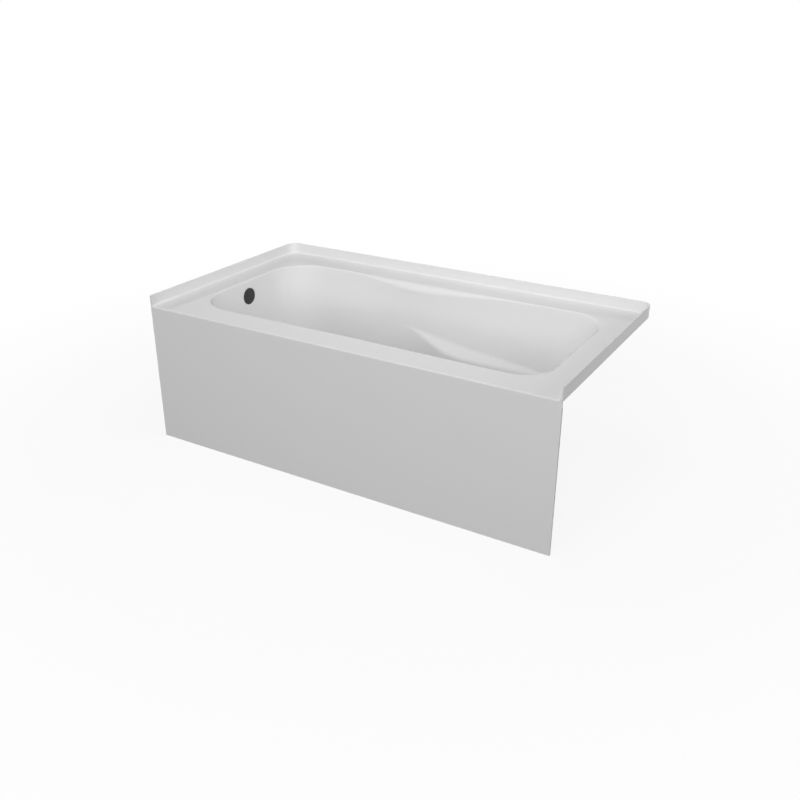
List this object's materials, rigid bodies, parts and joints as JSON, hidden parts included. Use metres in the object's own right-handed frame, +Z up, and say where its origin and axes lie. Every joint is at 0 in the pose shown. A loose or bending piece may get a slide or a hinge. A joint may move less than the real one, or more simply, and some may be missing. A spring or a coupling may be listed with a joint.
{
  "type": "alcove bathtub",
  "caption": "Alcove bathtub with a flat front apron, tile flange on three sides, moulded basin with arm rests, waste, overflow and toe-touch stopper.",
  "frame": {"origin": "middle of the bottom of the box round the tub, on the floor it stands on", "axes": "+X along the length from the drain end to the foot end, +Y from the apron to the back wall, +Z up"},
  "size_m": [1.524, 0.825, 0.544],
  "materials": {
    "acrylic": "high gloss white acrylic",
    "fibreglass": "sprayed glass-fibre, rough",
    "board": "plain chipboard",
    "timber": "sawn softwood",
    "black_trim": "matt black coated metal",
    "black_plastic": "moulded black waste pipe",
    "white_washer": "white washer plastic",
    "rubber": "black rubber",
    "brass": "machined brass",
    "steel": "zinc plated screw",
    "spring_steel": "drawn wire"
  },
  "bodies": {
    "tub": {"acrylic_shell": "acrylic", "basin_backing": "fibreglass", "apron_panel": "acrylic", "apron_backing": "fibreglass", "base_board": "board", "foot_pads": "rubber", "pad_screws": "steel", "apron_floor_batten": "timber", "overflow_cover": "black_trim", "overflow_retainer": "black_plastic", "overflow_gasket": "rubber", "overflow_head": "black_plastic", "overflow_tube": "black_plastic", "waste_tee": "black_plastic", "shoe_tube": "black_plastic", "outlet_tube": "black_plastic", "drain_shoe": "black_plastic", "slip_nuts": "black_plastic", "slip_washers": "white_washer", "drain_flange": "black_trim", "drain_gasket": "rubber", "shoe_gasket": "rubber", "stopper_post": "brass", "stopper_spring": "spring_steel", "front_rim_batten": "timber", "back_rim_batten": "timber", "drain_end_rim_batten": "timber", "foot_end_rim_batten": "timber", "drain_cross_rail": "timber", "middle_cross_rail": "timber", "foot_cross_rail": "timber", "apron_brace_drain_end": "timber", "apron_brace_middle": "timber", "apron_brace_foot_end": "timber"},
    "stopper": {"stopper_cap": "black_trim", "stopper_stem": "brass", "stopper_seal": "rubber"}
  },
  "joints": [
    {"name": "stopper_slide", "type": "slide", "parent": "tub", "child": "stopper", "axis": [0, 0, 1], "range_m": [-0.009, 0], "stiffness_N_per_m": 150, "springref_m": 0.02, "deforming": ["stopper_spring"]}
  ]
}
